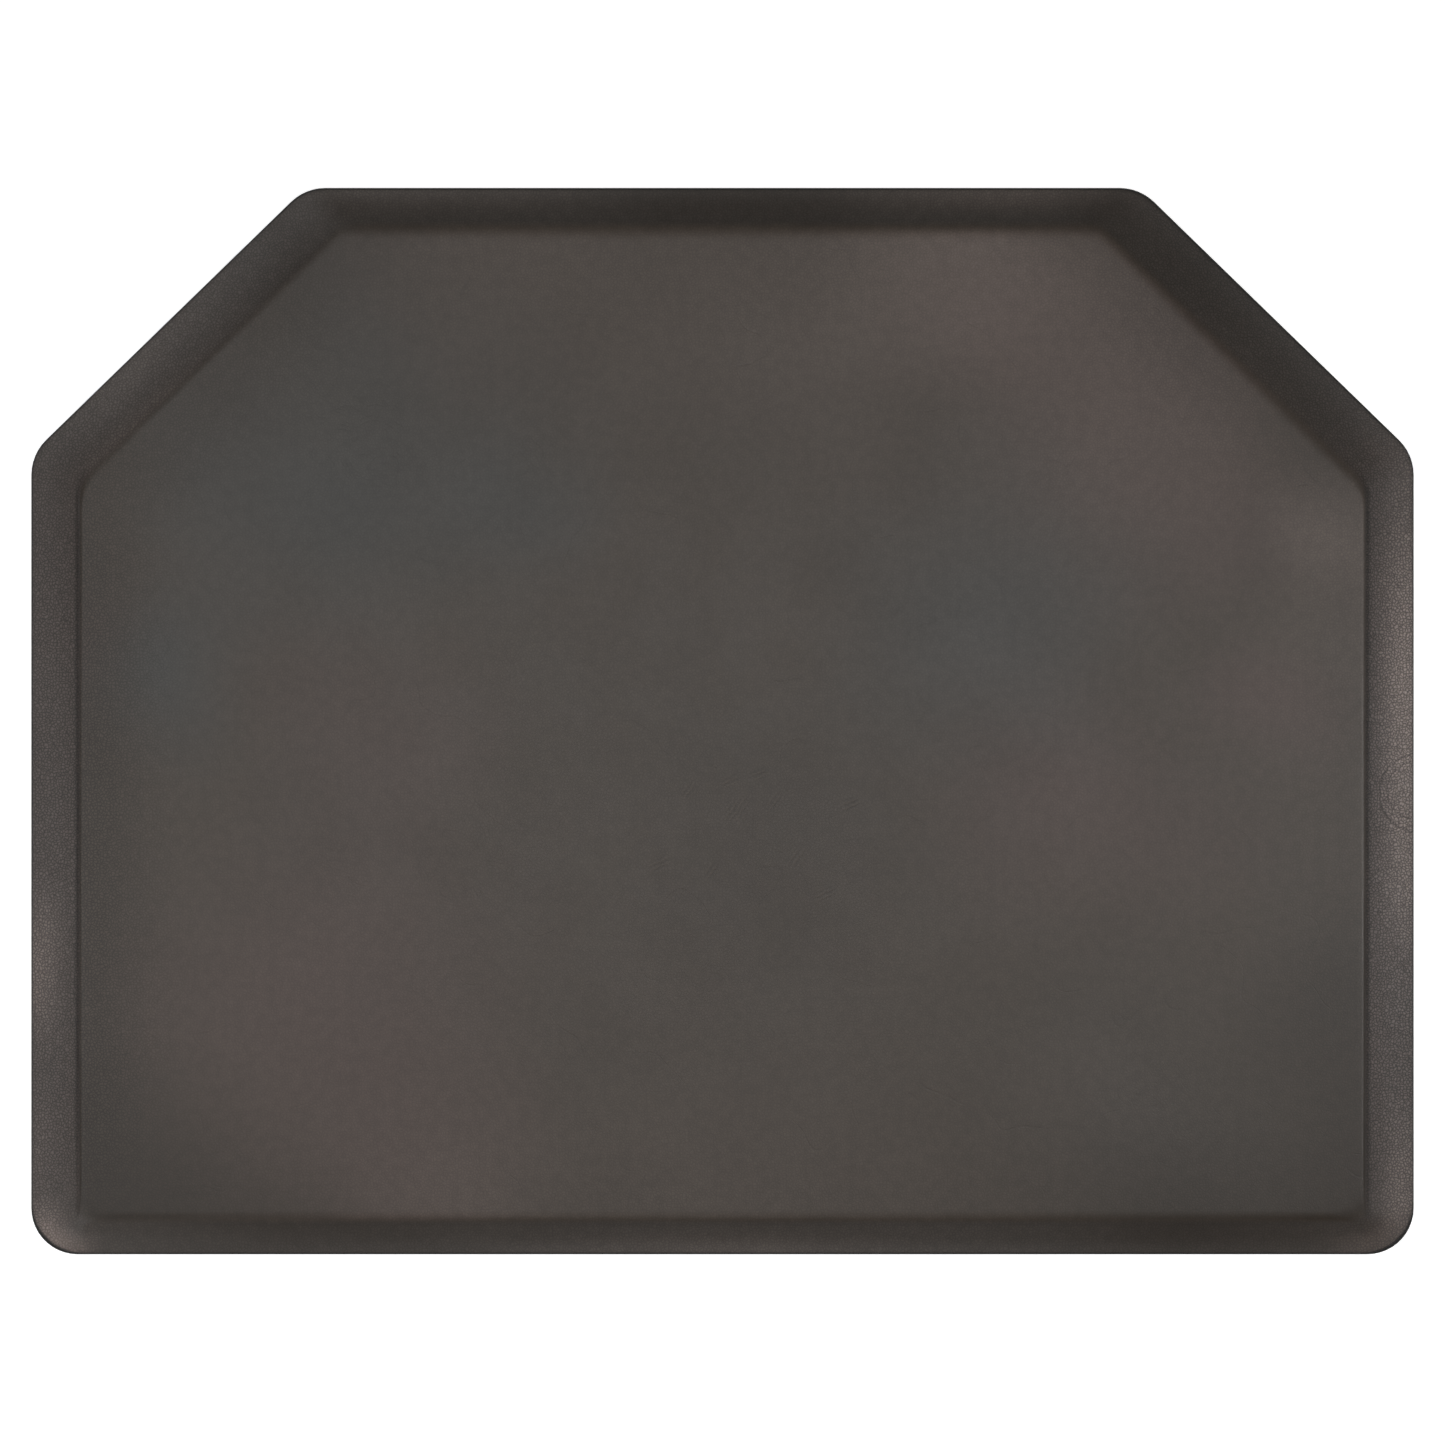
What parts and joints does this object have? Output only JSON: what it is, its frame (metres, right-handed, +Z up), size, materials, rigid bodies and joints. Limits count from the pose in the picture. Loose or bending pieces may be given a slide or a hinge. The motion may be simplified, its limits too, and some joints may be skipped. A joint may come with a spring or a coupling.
{
  "type": "anti-fatigue mat",
  "caption": "Flat cushioned floor mat with its two back corners cut off: a leather-grained skin over foam on a non-slip base, bevelled all round up to a raised standing panel.",
  "frame": {"origin": "centre of the footprint, on the floor", "axes": "+X along the straight front edge to the right, +Y towards the short back edge between the cut corners, +Z up"},
  "size_m": [1.524, 1.1756, 0.019],
  "materials": {
    "base": "near-black polyurethane, matt, moulded with a grid of shallow grip cups underneath",
    "foam": "dark grey closed-cell polyurethane foam",
    "grained_skin": "warm dark grey polyurethane with a moulded leather grain, satin"
  },
  "bodies": {
    "root": {"base_skin": "base", "foam_core": "foam", "top_skin": "grained_skin"}
  },
  "joints": []
}
